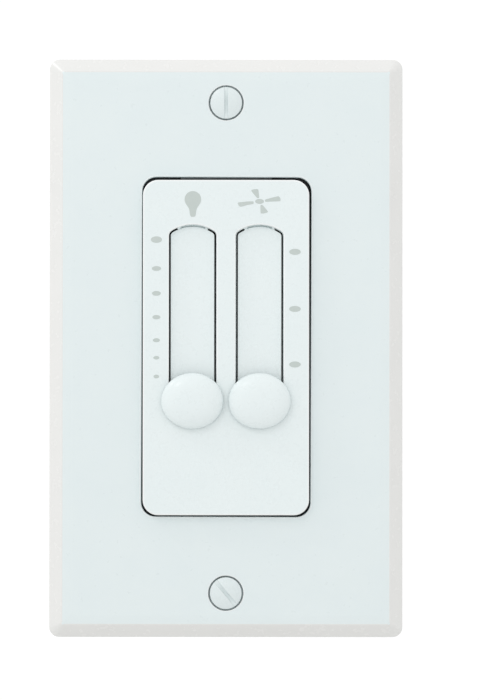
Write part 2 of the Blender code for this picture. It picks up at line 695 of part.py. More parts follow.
def choke():
    """A ring core with one layer of wire wound round it, standing on the board's back."""
    centre = Vector((-0.0085, BOARD_BACK + 0.0062, 0.0160))
    ring, half_side, half_height = 0.0062, 0.0023, 0.0036
    core = washer_profile(ring + half_side, ring - half_side, -half_height, half_height)
    turned("choke_core", core, centre, FERRITE, 28)
    turns, steps_per_turn, covered, squareness = 15, 8, 0.86, 2.1
    wire = bpy.data.curves.new("choke_winding", "CURVE")
    wire.dimensions = "3D"
    wire.bevel_depth = 0.00042
    wire.bevel_resolution = 2
    wire.use_fill_caps = True
    spline = wire.splines.new("POLY")
    count = turns * steps_per_turn
    spline.points.add(count)
    side, height = half_side + 0.0010, half_height + 0.0010
    for i, point in enumerate(spline.points):
        around = 2 * math.pi * covered * i / count
        turn = 2 * math.pi * i / steps_per_turn + math.pi / 8
        radius = ring + side * max(-1, min(1, squareness * math.cos(turn)))
        depth = height * max(-1, min(1, squareness * math.sin(turn)))
        point.co = (radius * math.cos(around), depth, radius * math.sin(around), 1.0)
    guide = bpy.data.objects.new("choke_winding_route", wire)
    guide.location = centre
    solid_from_curve("choke_winding", guide, COPPER, 60)


def boxed_part(name, low, high, look):
    """A moulded box with softened edges, as on film capacitors."""
    obj = box(name, low, high, look)
    edge = obj.modifiers.new("edge", "BEVEL")
    edge.width = 0.0004
    edge.segments = 2
    return obj


def axial_part(name, centre, radius, length, look, axis="+Z"):
    """A cylindrical part on its own wire leads."""
    wire, lead, half = 0.0003, 0.0020, length / 2
    profile = [(0.0, half + lead), (wire, half + lead), (wire, half)]
    profile += [(radius * 0.8, half), (radius, half * 0.8)]
    profile += [(r, -h) for r, h in reversed(profile)]
    turned(name, profile, centre, look, 16, axis=axis)


def trimmer():
    """The low-light trimmer: a square body with a slotted rotor behind a hole in the yoke."""
    x, z = TRIMMER_X, TRIMMER_Z
    low, high = (x - 0.0035, 0.0030, z - 0.0035), (x + 0.0035, BOARD_FRONT - REST, z + 0.0035)
    body = boxed_part("trimmer_body", low, high, BLUE_RESIN)
    cut(body, slab("trimmer_well", [circle(x, z, 0.0024, 20)], 0.0020, 0.0062))
    rotor_profile = [(0.0, 0.0024), (0.0015, 0.0024), (0.0015, 0.0008), (0.0022, 0.0008), (0.0022, -0.0022)]
    rotor_profile += [(0.0, -0.0022)]
    rotor = turned("trimmer_rotor", rotor_profile, (x, 0.0038, z), PLASTIC, 20)
    slot = box("trimmer_rotor_slot", (x - 0.0003, 0.0, z - 0.003), (x + 0.0003, 0.0021, z + 0.003))
    cut(rotor, slot)
    return rotor


def board_parts():
    back = BOARD_BACK + REST
    cases = (
        ("dimmer_capacitor", (-0.0165, -0.0100), (-0.0010, -0.0030), 0.0110, YELLOW_FILM),
        ("timing_capacitor", (-0.0165, -0.0170), (-0.0095, -0.0130), 0.0070, RED_FILM),
        ("fan_capacitor_low", (0.0030, -0.0270), (0.0165, -0.0020), 0.0140, YELLOW_FILM),
        ("fan_capacitor_medium", (0.0060, 0.0010), (0.0165, 0.0150), 0.0140, YELLOW_FILM),
    )
    for name, (left, lower), (right, upper), depth, look in cases:
        boxed_part(name, (left, back, lower), (right, back + depth, upper), look)
    axial_part("diac", (-0.0060, back + 0.0015, -0.0150), 0.0010, 0.0040, GLASS_AMBER)
    axial_part("timing_resistor", (-0.0030, back + 0.0015, -0.0160), 0.0012, 0.0064, TAN_RESIN)
    axial_part("fan_bleed_resistor_low", (-0.0140, back + 0.0016, -0.0235), 0.0012, 0.0064, TAN_RESIN)
    axial_part("fan_bleed_resistor_medium", (-0.0090, back + 0.0016, -0.0235), 0.0012, 0.0064, TAN_RESIN)


def fasteners():
    for name, side, angle in (("upper", 1, 0.0), ("lower", -1, math.radians(-40))):
        z = side * PLATE_SCREW_Z
        slotted_screw(
            "wall_plate_screw_" + name, (0.0, PLATE_FRONT, z), 0.0034, 0.0017, 0.0120, WHITE_STEEL, angle
        )
        z = side * DEVICE_SCREW_Z
        place = (0.0, YOKE_FRONT - REST, z)
        pan_screw("device_screw_" + name, place, 0.0034, 0.0016, 0.0017, 0.0260, STEEL)
        ring = [rounded_rectangle(0.0100, 0.0070, 0.0005, (0.0, z), 1), circle(0.0, z, 0.0019, 12)]
        slab("screw_retainer_" + name, ring, REST, REST + 0.0008, FIBRE)
    for number, (x, z) in enumerate(((-1, 1), (1, 1), (-1, -1), (1, -1)), start=1):
        place = (x * HOUSING_SCREW_X, YOKE_FRONT - REST, z * HOUSING_SCREW_Z)
        pan_screw(f"housing_screw_{number}", place, 0.0022, 0.0011, 0.0012, 0.0110, STEEL, 0.9 * number)
    place = (GROUND_X, YOKE_FRONT - REST, GROUND_Z)
    pan_screw("ground_screw", place, 0.0030, 0.0015, 0.0016, 0.0070, GREEN_STEEL)


def build():
    clear_scene()
    wall_plate()
    front_bezel()
    yoke()
    back_housing()
    lead_grommet()
    fasteners()
    circuit_board()
    triac()
    choke()
    board_parts()
    light_axis = axis_empty("light_slide_axis", (-CHANNEL_X, BEZEL_FRONT, KNOB_Z))
    fan_axis = axis_empty("fan_slide_axis", (CHANNEL_X, BEZEL_FRONT, KNOB_Z))
    light_pieces = (knob("light_knob", -CHANNEL_X), saddle("light_saddle", -CHANNEL_X), *light_element())
    fan_pieces = (knob("fan_knob", CHANNEL_X), saddle("fan_saddle", CHANNEL_X), *fan_element())
    parent_to(light_axis, *light_pieces)
    parent_to(fan_axis, *fan_pieces)
    trimmer()


build()
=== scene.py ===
"""The finished look of the dual slide control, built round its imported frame.

Metres in Blender, millimetres in the numbers below: +X is right as seen from the front, +Z is up
and +Y points into the wall. An outline is a list of (x, z) points.
"""

import math

import bmesh
import bpy
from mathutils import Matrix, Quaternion, Vector


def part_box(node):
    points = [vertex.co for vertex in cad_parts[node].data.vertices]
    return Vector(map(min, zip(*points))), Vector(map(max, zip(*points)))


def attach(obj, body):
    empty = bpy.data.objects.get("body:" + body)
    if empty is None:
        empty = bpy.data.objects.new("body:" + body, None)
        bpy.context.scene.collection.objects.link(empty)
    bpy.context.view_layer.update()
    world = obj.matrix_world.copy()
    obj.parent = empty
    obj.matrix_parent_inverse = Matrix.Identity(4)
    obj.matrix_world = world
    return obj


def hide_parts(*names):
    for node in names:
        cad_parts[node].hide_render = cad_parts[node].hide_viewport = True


MM = 0.001

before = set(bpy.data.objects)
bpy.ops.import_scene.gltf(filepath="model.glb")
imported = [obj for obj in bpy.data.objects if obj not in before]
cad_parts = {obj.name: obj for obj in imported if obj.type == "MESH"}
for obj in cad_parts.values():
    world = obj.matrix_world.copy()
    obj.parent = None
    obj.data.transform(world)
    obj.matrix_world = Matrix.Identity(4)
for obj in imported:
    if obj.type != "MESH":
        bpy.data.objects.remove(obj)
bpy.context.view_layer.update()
control = "control_body"


# Outlines


def arc(x, z, radius, start, end, steps):
    points = []
    for i in range(steps + 1):
        angle = math.radians(start + (end - start) * i / steps)
        points.append((x + radius * math.cos(angle), z + radius * math.sin(angle)))
    return points


def circle(x, z, radius, steps=48):
    return arc(x, z, radius, 0, 360, steps)[:-1]


def rounded(width, height, corner, x=0.0, z=0.0, steps=8):
    points = []
    for number, (side_x, side_z) in enumerate(((1, 1), (-1, 1), (-1, -1), (1, -1))):
        corner_x = x + side_x * (width / 2 - corner)
        corner_z = z + side_z * (height / 2 - corner)
        points += arc(corner_x, corner_z, corner, 90 * number, 90 * number + 90, steps)
    return points


def stadium(x, z, width, length, steps=12, across=False):
    """A slot with round ends, longer along Z, or along X if across is set."""
    reach = (length - width) / 2
    points = arc(0, reach, width / 2, 0, 180, steps) + arc(0, -reach, width / 2, 180, 360, steps)
    if across:
        points = [(-pz, px) for px, pz in points]
    return [(x + px, z + pz) for px, pz in points]


def mirrored(points):
    return [(-x, z) for x, z in reversed(points)]


def grown(points, distance):
    """The outline moved outwards by a distance, or inwards by a negative one."""
    count = len(points)
    twice_area = sum(points[i - 1][0] * points[i][1] - points[i][0] * points[i - 1][1] for i in range(count))
    step = math.copysign(distance, twice_area * distance) if distance else 0.0
    moved = []
    for i, here in enumerate(points):
        into = Vector(here) - Vector(points[i - 1])
        out = Vector(points[(i + 1) % count]) - Vector(here)
        into.normalize()
        out.normalize()
        sides = Vector((into.y, -into.x)), Vector((out.y, -out.x))
        push = (sides[0] + sides[1]) * (step / (1 + sides[0].dot(sides[1])))
        moved.append((here[0] + push.x, here[1] + push.y))
    return moved


# Meshes


class Form:
    """A closed mesh that grows from loops of corners at given depths."""

    def __init__(self):
        self.shape = bmesh.new()

    def loop(self, points, y):
        return [self.shape.verts.new((x * MM, y * MM, z * MM)) for x, z in points]

    def bridge(self, first, second):
        """Faces between two loops of the same length, where a loop of one corner is a tip."""
        count = max(len(first), len(second))
        for i in range(count):
            j = (i + 1) % count
            if len(first) == 1:
                self.shape.faces.new((first[0], second[j], second[i]))
            elif len(second) == 1:
                self.shape.faces.new((first[i], first[j], second[0]))
            else:
                self.shape.faces.new((first[i], first[j], second[j], second[i]))

    def strip(self, first, second):
        for i in range(len(first) - 1):
            self.shape.faces.new((first[i], first[i + 1], second[i + 1], second[i]))

    def stack(self, rings):
        loops = [self.loop(points, y) for points, y in rings]
        for first, second in zip(loops, loops[1:]):
            self.bridge(first, second)
        return loops[0], loops[-1]

    def fill(self, *loops):
        """A flat region inside the first loop, with the other loops as its holes."""
        edges = []
        for loop in loops:
            for first, second in zip(loop, loop[1:] + loop[:1]):
                edges.append(self.shape.edges.get((first, second)) or self.shape.edges.new((first, second)))
        bmesh.ops.triangle_fill(self.shape, use_beauty=True, use_dissolve=False, edges=edges)

    def object(self, name):
        bmesh.ops.recalc_face_normals(self.shape, faces=self.shape.faces)
        mesh = bpy.data.meshes.new(name)
        self.shape.to_mesh(mesh)
        self.shape.free()
        obj = bpy.data.objects.new(name, mesh)
        bpy.context.scene.collection.objects.link(obj)
        return obj


def carve(obj, *cutters):
    """Cuts the cutters out of the object for good, and removes them."""
    for cutter in cutters:
        change = obj.modifiers.new("carve", "BOOLEAN")
        change.operation = "DIFFERENCE"
        change.solver = "EXACT"
        change.object = cutter
    bpy.context.view_layer.update()
    graph = bpy.context.evaluated_depsgraph_get()
    mesh = bpy.data.meshes.new_from_object(obj.evaluated_get(graph))
    obj.modifiers.clear()
    obj.data = mesh
    for cutter in cutters:
        bpy.data.objects.remove(cutter, do_unlink=True)


def finish_piece(obj, slot, body=control, stands_for=(), sharp=38, finish=None):
    """Gives a piece its material and shading, and puts it on its body."""
    obj.data.materials.clear()
    obj.data.materials.append(LOOKS[finish or slot])
    obj.data.shade_smooth()
    obj.data.set_sharp_from_angle(angle=math.radians(sharp))
    weigh = obj.modifiers.new("shading", "WEIGHTED_NORMAL")
    weigh.mode = "FACE_AREA"
    weigh.keep_sharp = True
    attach(obj, body)
    if stands_for:
        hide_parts(*stands_for)
    return obj


def paint_light_on_faces(obj, material, chosen):
    """Gives the faces whose centres are chosen another material, used here to paint highlights and light
    onto them.
    """
    obj.data.materials.append(material)
    for face in obj.data.polygons:
        if chosen(face.center / MM):
            face.material_index = len(obj.data.materials) - 1


def span(node):
    low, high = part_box(node)
    return low / MM, high / MM


def lip(points, front, radius, side, steps=4):
    """Rings that round an edge off, from the face down: side is 1 for a hole and -1 for an outer edge."""
    rings = []
    for i in range(steps + 1):
        angle = math.pi / 2 * i / steps
        inset = side * radius * (1 - math.sin(angle))
        rings.append((grown(points, inset), front + radius * (1 - math.cos(angle))))
    return rings


def sheet(name, outlines, front, back, edge=0.12):
    """A flat piece with softened edges: the first outline is its edge and the others are its holes."""
    form = Form()
    tops, bottoms = [], []
    for number, points in enumerate(outlines):
        side = 1 if number else -1
        rings = lip(points, front, edge, side, 2)
        rings += [(ring, front + back - y) for ring, y in reversed(lip(points, front, edge, side, 2))]
        top, bottom = form.stack(rings)
        tops.append(top)
        bottoms.append(bottom)
    form.fill(*tops)
    form.fill(*bottoms)
    return form.object(name)


def turned(name, x, z, profile, steps=48, flatten=1.0, thread=None):
    """A turned piece along Y from (radius, y) points. A thread is (from y, to y, pitch, depth)."""
    form = Form()
    rows = list(profile)
    if thread:
        start, end, pitch, depth = thread
        count = int(abs(end - start) / pitch * 6)
        place = next(i for i, row in enumerate(rows) if row[1] > start)
        radius = rows[place][0]
        rows[place:place] = [(radius, start + (end - start) * i / count) for i in range(count + 1)]
    loops = []
    for radius, y in rows:
        if radius == 0:
            loops.append(form.loop([(x, z)], y))
            continue
        points = []
        for px, pz in circle(0.0, 0.0, 1.0, steps):
            size = radius
            if thread and start <= y <= end:
                phase = ((y - start) / pitch + math.atan2(pz, px) / (2 * math.pi)) % 1.0
                fade = min(1.0, (y - start) / pitch + 0.2, (end - y) / pitch + 0.2)
                size -= depth * fade * min(1.0, abs(phase - 0.5) * 2.4)
            points.append((x + px * size, z + pz * size * flatten))
        loops.append(form.loop(points, y))
    for first, second in zip(loops, loops[1:]):
        form.bridge(first, second)
    return form.object(name)


# Materials


def look(slot, colour, other, rough, metallic=0.0, blotch=0.12, grain=5.0, stretch=(1, 1, 1), depth=0.006,
         speck=None, coat=0.0, ior=1.47, strength=0.4):
    """A procedural material: uneven tint, uneven gloss and fine relief. Scales are per millimetre."""
    made = bpy.data.materials.new(slot)
    made.use_nodes = True
    nodes, links = made.node_tree.nodes, made.node_tree.links
    shader = nodes["Principled BSDF"]
    shader.inputs["Metallic"].default_value = metallic
    shader.inputs["IOR"].default_value = ior
    shader.inputs["Coat Weight"].default_value = coat
    shader.inputs["Coat Roughness"].default_value = 0.12
    place = nodes.new("ShaderNodeTexCoord")
    stretched = nodes.new("ShaderNodeMapping")
    stretched.inputs["Scale"].default_value = stretch
    links.new(place.outputs["Object"], stretched.inputs["Vector"])

    def noise(scale, detail, vector):
        node = nodes.new("ShaderNodeTexNoise")
        node.inputs["Scale"].default_value = scale / MM
        node.inputs["Detail"].default_value = detail
        node.inputs["Roughness"].default_value = 0.6
        links.new(vector, node.inputs["Vector"])
        return node.outputs["Fac"]

    def ramp(value, low, high, to_low, to_high):
        node = nodes.new("ShaderNodeMapRange")
        links.new(value, node.inputs["Value"])
        ends = {"From Min": low, "From Max": high, "To Min": to_low, "To Max": to_high}
        for socket, number in ends.items():
            node.inputs[socket].default_value = number
        return node.outputs["Result"]

    def blend(factor, first, second):
        node = nodes.new("ShaderNodeMix")
        node.data_type = "RGBA"
        links.new(factor, node.inputs["Factor"])
        for socket, value in ((node.inputs[6], first), (node.inputs[7], second)):
            if isinstance(value, tuple):
                socket.default_value = (*value, 1.0)
            else:
                links.new(value, socket)
        return node.outputs[2]

    broad = noise(blotch, 3.0, place.outputs["Object"])
    fine = noise(grain, 4.0, stretched.outputs["Vector"])
    scuff = noise(blotch * 6, 6.0, stretched.outputs["Vector"])
    tint = blend(ramp(broad, 0.3, 0.7, 0.0, 1.0), colour, other)
    if speck:
        tint = blend(ramp(fine, 0.56, 0.66, 0.0, 1.0), tint, speck)
    links.new(tint, shader.inputs["Base Color"])
    links.new(ramp(scuff, 0.3, 0.7, rough[0], rough[1]), shader.inputs["Roughness"])
    bump = nodes.new("ShaderNodeBump")
    bump.inputs["Strength"].default_value = strength
    bump.inputs["Distance"].default_value = depth * MM
    links.new(fine, bump.inputs["Height"])
    links.new(bump.outputs["Normal"], shader.inputs["Normal"])
    return made


BRUSHED = (1.0, 1.0, 0.03)
LOOKS = {
    "white_moulding": look("white_moulding", (0.762, 0.832, 0.838), (0.748, 0.822, 0.832), (0.26, 0.36),
                           grain=3.5),
    "insert_moulding": look("insert_moulding", (0.800, 0.865, 0.868), (0.786, 0.855, 0.862), (0.24, 0.34),
                            grain=3.5),
    "white_screw": look("white_screw", (0.74, 0.81, 0.81), (0.72, 0.79, 0.80), (0.22, 0.36), grain=2.5,
                        depth=0.01),
    "grey_print": look("grey_print", (0.520, 0.585, 0.560), (0.550, 0.605, 0.585), (0.45, 0.60),
                       grain=9.0),
    "yoke_metal": look("yoke_metal", (0.030, 0.030, 0.034), (0.045, 0.045, 0.050), (0.38, 0.52), 0.6,
                       grain=9.0, stretch=BRUSHED, depth=0.004),
    "plated_steel": look("plated_steel", (0.60, 0.61, 0.62), (0.70, 0.69, 0.63), (0.24, 0.42), 1.0, 0.3,
                         8.0),
    "spring_steel": look("spring_steel", (0.42, 0.42, 0.44), (0.50, 0.49, 0.49), (0.22, 0.38), 1.0, 0.4,
                         grain=10.0, stretch=BRUSHED),
    "green_screw": look("green_screw", (0.035, 0.22, 0.08), (0.05, 0.30, 0.11), (0.25, 0.42), 0.6, 0.4,
                        8.0),
    "brass_contact": look("brass_contact", (0.72, 0.50, 0.20), (0.62, 0.42, 0.18), (0.25, 0.45), 1.0, 0.4,
                          grain=9.0, stretch=BRUSHED),
    "black_moulding": look("black_moulding", (0.018, 0.018, 0.019), (0.026, 0.026, 0.027), (0.38, 0.56),
                           grain=3.2, depth=0.02, strength=0.6),
    "grey_moulding": look("grey_moulding", (0.22, 0.23, 0.24), (0.26, 0.27, 0.28), (0.38, 0.52),
                          grain=4.0),
    "blue_moulding": look("blue_moulding", (0.03, 0.08, 0.34), (0.04, 0.11, 0.40), (0.34, 0.50),
                          grain=4.0),
    "white_rotor": look("white_rotor", (0.74, 0.73, 0.68), (0.70, 0.69, 0.63), (0.35, 0.50), grain=4.0),
    "board_resin": look("board_resin", (0.035, 0.16, 0.07), (0.045, 0.20, 0.09), (0.30, 0.50), 0.0, 0.3,
                        2.6,
                        speck=(0.07, 0.26, 0.13)),
    "phenolic_board": look("phenolic_board", (0.33, 0.19, 0.08), (0.40, 0.25, 0.11), (0.50, 0.70), 0.0,
                           0.5, 3.0,
                           speck=(0.24, 0.13, 0.05)),
    "carbon_track": look("carbon_track", (0.022, 0.022, 0.024), (0.034, 0.034, 0.037), (0.55, 0.75),
                         grain=9.0),
    "red_fibre": look("red_fibre", (0.36, 0.06, 0.035), (0.28, 0.05, 0.03), (0.70, 0.90), 0.0, 0.8, 4.0,
                      stretch=(0.3, 1, 1), depth=0.03, speck=(0.46, 0.12, 0.08)),
    "black_rubber": look("black_rubber", (0.018, 0.018, 0.018), (0.028, 0.028, 0.027), (0.62, 0.82),
                         grain=4.0,
                         depth=0.015),
    "ferrite": look("ferrite", (0.075, 0.077, 0.082), (0.10, 0.10, 0.105), (0.50, 0.75), 0.0, 0.6, 5.0,
                    depth=0.02, speck=(0.17, 0.17, 0.18)),
    "copper_wire": look("copper_wire", (0.50, 0.17, 0.06), (0.58, 0.22, 0.08), (0.20, 0.34), 0.9, 0.6, 8.0,
                        coat=0.5),
    "yellow_case": look("yellow_case", (0.72, 0.48, 0.05), (0.66, 0.43, 0.045), (0.34, 0.50), grain=4.0,
                        depth=0.012),
    "red_case": look("red_case", (0.42, 0.045, 0.03), (0.36, 0.038, 0.026), (0.34, 0.50), grain=4.0,
                     depth=0.012),
    "amber_glass": look("amber_glass", (0.52, 0.20, 0.05), (0.60, 0.26, 0.07), (0.10, 0.20), 0.0, 1.0, 4.0,
                        coat=0.8),
    "tan_resin": look("tan_resin", (0.55, 0.38, 0.22), (0.60, 0.43, 0.26), (0.38, 0.52), 0.0, 0.8, 5.0),
    "mica_sheet": look("mica_sheet", (0.60, 0.56, 0.45), (0.68, 0.64, 0.54), (0.25, 0.45), 0.0, 0.5, 3.0,
                       speck=(0.74, 0.71, 0.62)),
}
# The rounded lips of the mouldings get a brighter copy of the white moulding as a painted highlight, and the
# plate's sloped sides get a warmer, slightly darker and glossier copy of it as painted light.
LIP_PAINTED_HIGHLIGHT = look("white_moulding_lip_painted_highlight", (0.90, 0.92, 0.92), (0.88, 0.90, 0.90), (0.16, 0.22), grain=2.0)
SLOPE_PAINTED_LIGHT = look("white_moulding_slope_painted_light", (0.790, 0.790, 0.776), (0.775, 0.777, 0.762), (0.20, 0.30),
                 grain=2.0)

PLAIN_NODES = {
    "yoke_metal": ("triac_rivet",),
    "plated_steel": ("housing_screw_1", "housing_screw_2", "housing_screw_3", "housing_screw_4",
                     "light_pot_frame", "fan_switch_frame", "triac"),
    "spring_steel": ("light_saddle", "fan_saddle", "fan_detent_leaf"),
    "brass_contact": ("light_pot_collector", "light_pot_wiper", "fan_common_rail", "fan_low_contact",
                      "fan_medium_contact", "fan_high_contact", "fan_bridge_contact"),
    "grey_moulding": ("light_pot_slider", "fan_switch_slider"),
    "blue_moulding": ("trimmer_body",),
    "white_rotor": ("trimmer_rotor",),
    "board_resin": ("circuit_board",),
    "phenolic_board": ("light_pot_board", "fan_switch_board"),
    "carbon_track": ("light_pot_track",),
    "ferrite": ("choke_core",),
    "copper_wire": ("choke_winding",),
    "yellow_case": ("dimmer_capacitor", "fan_capacitor_low", "fan_capacitor_medium"),
    "red_case": ("timing_capacitor",),
    "amber_glass": ("diac",),
    "tan_resin": ("timing_resistor", "fan_bleed_resistor_low", "fan_bleed_resistor_medium"),
    "mica_sheet": ("triac_insulator",),
}


def dress_plain_nodes():
    """The inner pieces keep their CAD shape and get a real finish, with their sharp edges broken."""
    for slot, names in PLAIN_NODES.items():
        for name in names:
            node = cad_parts[name]
            node.data.materials.clear()
            node.data.materials.append(LOOKS[slot])
            if name != "choke_winding":
                edge = node.modifiers.new("edge", "BEVEL")
                edge.width = 0.06 * MM
                edge.segments = 2
                edge.limit_method = "ANGLE"
                edge.angle_limit = math.radians(50)


# Wall plate

# The opening is a little larger than the insert, and stands a trace askew round it.
OPENING = (33.40, 67.06, 2.8)
OPENING_SHIFT = (0.065, 0.19)
OPENING_TURN = 0.0028
PLATE_HOLE_Z = 48.42
PLATE_SKIN = 2.2
PLATE_RIM = 2.4


def plate_ring(width, height, inset, y):
    """A ring of the plate's outer side. The corner sharpens as the sloped side rises."""
    return rounded(width - 2 * inset, height - 2 * inset, max(0.45, 2.0 - 0.62 * inset)), y


def near_hole(spot):
    """Whether a spot on the plate lies by its opening or by a screw."""
    by_opening = abs(spot.x) < OPENING[0] / 2 + 1 and abs(spot.z) < OPENING[1] / 2 + 1
    return by_opening or math.hypot(spot.x, abs(spot.z) - PLATE_HOLE_Z) < 4.0


def wall_plate():
    low, high = span("wall_plate")
    front, width, height = low.y, 2 * high.x, 2 * high.z
    inner = front + PLATE_SKIN
    form = Form()
    section = [(0.20, 0.0), (0.0, -0.20), (0.0, front + 2.42), (0.03, front + 2.28), (0.12, front + 2.13)]
    section += [(2.34, front + 0.25), (2.50, front + 0.15), (2.68, front + 0.10), (4.20, front + 0.012)]
    section += [(4.40, front)]
    back_edge, face = form.stack([plate_ring(width, height, inset, y) for inset, y in section])
    shift_x, shift_z = OPENING_SHIFT
    opening = []
    for px, pz in rounded(*OPENING):
        opening.append((px + shift_x + pz * OPENING_TURN, pz + shift_z - px * OPENING_TURN))
    rings = lip(opening, front, 0.28, 1) + [(opening, inner)]
    face_opening, back_opening = form.stack(rings)
    face_holes, back_bosses = [], []
    for side in (1, -1):
        z = side * PLATE_HOLE_Z
        hole = lip(circle(0, z, 3.48), front, 0.12, 1, 3)
        hole += [(circle(0, z, 3.46), front + 0.75), (circle(0, z, 2.1), front + 1.9)]
        hole += [(circle(0, z, 2.1), -1.85), (circle(0, z, 2.25), -1.7)]
        hole += [(circle(0, z, 2.85), -1.7), (circle(0, z, 3.0), -1.85), (circle(0, z, 3.05), inner)]
        face_hole, boss = form.stack(hole)
        face_holes.append(face_hole)
        back_bosses.append(boss)
    form.fill(face, face_opening, *face_holes)
    rim = rounded(width - 2 * PLATE_RIM, height - 2 * PLATE_RIM, 1.0)
    rim_edge, rim_foot = form.stack([(grown(rim, 0.1), 0.0), (rim, -0.1), (grown(rim, -0.1), inner)])
    form.bridge(back_edge, rim_edge)
    form.fill(rim_foot, back_opening, *back_bosses)
    plate = form.object("plate_moulding")
    finish_piece(plate, "white_moulding", stands_for=["wall_plate"], sharp=50)
    # painted light: the plate's sloped sides get a warmer, slightly darker copy of the white moulding
    paint_light_on_faces(plate, SLOPE_PAINTED_LIGHT, lambda c: max(abs(c.x) - high.x, abs(c.z) - high.z) > -2.6 and c.y < -0.1)
    # painted highlight: the lips round the plate's opening and screw holes get the brighter lip copy
    paint_light_on_faces(plate, LIP_PAINTED_HIGHLIGHT, lambda c: front + 0.001 < c.y < front + 0.12 and near_hole(c))


# Bezel

# Each channel: its centre, its half width, its right and left slit, and how far each slit's wall leans in
CHANNELS = ((-6.56, 4.70, (0.47, 0.36), (0.10, 0.0)), (6.625, 4.765, (0.48, 0.48), (0.14, 0.15)))
CORNER = 1.2
FOOT_CORNER = 1.6
GROOVE = 0.38
GROOVE_DEPTH = 0.5
CROWN = 7.7
APEX_Z = 24.3
BOTTOM_Z = -14.0
FOOT_Z = -12.3
FLOOR_Y = -6.1
FLOOR_BACK_Y = -4.0
SLIT = 0.45
NECK = 3.1
BEZEL_FRONT_Y = -7.2
BEZEL_BACK_Y = -1.6


def channel_side(half, inset):
    """The right side of a channel from its slit's foot to the rail's neck, drawn in by an inset."""
    middle_z = APEX_Z - CROWN
    corner_x = half - CORNER
    meet = math.degrees(math.acos(corner_x / (CROWN - CORNER)))
    corner_z = middle_z + corner_x * math.tan(math.radians(meet))
    neck = math.degrees(math.acos(NECK / CROWN))
    side = [(half - inset, FOOT_Z)] + arc(corner_x, corner_z, CORNER - inset, 0, meet, 7)
    return side + arc(0, middle_z, CROWN - inset, meet, neck, 4)[1:], neck


def channel(form, x, half, slit_widths, leans):
    """One channel with its rail and its slits, whose sizes are given as right and left.

    It returns the loop round its mouth and the loops on its back. The crown's wall slopes down to a fine
    groove at the head of the rail.
    """
    right, neck = channel_side(half, 0.0)
    crown = arc(0, APEX_Z - CROWN, CROWN, neck, 180 - neck, 16)[1:-1]
    left = mirrored(right)
    lower = arc(-half + FOOT_CORNER, BOTTOM_Z + FOOT_CORNER, FOOT_CORNER, 180, 270, 6)
    lower += arc(half - FOOT_CORNER, BOTTOM_Z + FOOT_CORNER, FOOT_CORNER, 270, 360, 6)
    outline = [(x + px, pz) for px, pz in right + crown + left + lower]
    mouth, wall_top = form.stack(lip(outline, BEZEL_FRONT_Y, 0.22, 1))
    reach = len(right)
    first_left = reach + len(crown)
    sides = (0, reach), (first_left, first_left + reach)
    low_outline = list(outline)
    low_crown = arc(x, APEX_Z - CROWN, CROWN - SLIT, neck, 180 - neck, 16)[1:-1]
    low_outline[reach:first_left] = low_crown
    right_foot, left_foot = [channel_side(half, lean)[0] for lean in leans]
    low_outline[:reach] = [(x + px, pz) for px, pz in right_foot]
    low_outline[first_left : first_left + reach] = [(x + px, pz) for px, pz in mirrored(left_foot)]
    floor = form.loop(low_outline, FLOOR_Y)
    for i in range(len(floor)):
        j = (i + 1) % len(floor)
        if i not in (reach - 1, first_left - 1) and not reach <= i < first_left - 1:
            form.shape.faces.new((wall_top[i], wall_top[j], floor[j], floor[i]))
    foot, bed = {}, {}
    for i in range(reach, first_left):
        px, pz = low_outline[i]
        away = Vector((px - x, pz - APEX_Z + CROWN)).normalized()
        if i in (reach, first_left - 1):
            foot[i] = bed[i] = floor[i]
        else:
            edge, middle = away * GROOVE, away * GROOVE / 2
            bed_y = FLOOR_Y + GROOVE_DEPTH
            foot[i] = form.shape.verts.new(((px + edge.x) * MM, FLOOR_Y * MM, (pz + edge.y) * MM))
            bed[i] = form.shape.verts.new(((px + middle.x) * MM, bed_y * MM, (pz + middle.y) * MM))
    for i in range(reach, first_left - 1):
        for upper, lower in ((wall_top, foot), (foot, bed), (bed, floor)):
            corners = dict.fromkeys((upper[i], upper[i + 1], lower[i + 1], lower[i]))
            form.shape.faces.new(list(corners))
    border, slits = [], []
    for (start, end), slit, turn in zip(sides, slit_widths, (1, -1)):
        wall = floor[start:end]
        inner = channel_side(half, slit)[0]
        inner[-1] = arc(0, APEX_Z - CROWN, CROWN - SLIT, neck, neck, 1)[0]
        rail = [(x + px, pz) for px, pz in (inner if turn == 1 else mirrored(inner))]
        wall_back = form.loop([(v.co.x / MM, v.co.z / MM) for v in wall], FLOOR_BACK_Y)
        rail_front, rail_back = form.loop(rail, FLOOR_Y), form.loop(rail, FLOOR_BACK_Y)
        form.strip(wall, wall_back)
        form.strip(rail_front, rail_back)
        for k in (0, -1):
            form.shape.faces.new((wall[k], rail_front[k], rail_back[k], wall_back[k]))
        slits.append(wall_back + rail_back[::-1])
        if turn == 1:
            shoulder = wall_top[end - 1], wall_top[end], floor[end], rail_front[-1], wall[-1]
            border.append([wall[0], *rail_front])
        else:
            shoulder = wall_top[start - 1], wall_top[start], wall[0], rail_front[0], floor[start - 1]
            border.append([*rail_front, wall[-1]])
        form.shape.faces.new(shoulder)
    right_border, left_border = border
    edge = right_border + floor[reach:first_left] + left_border + floor[first_left + reach :]
    form.fill(edge)
    return mouth, slits


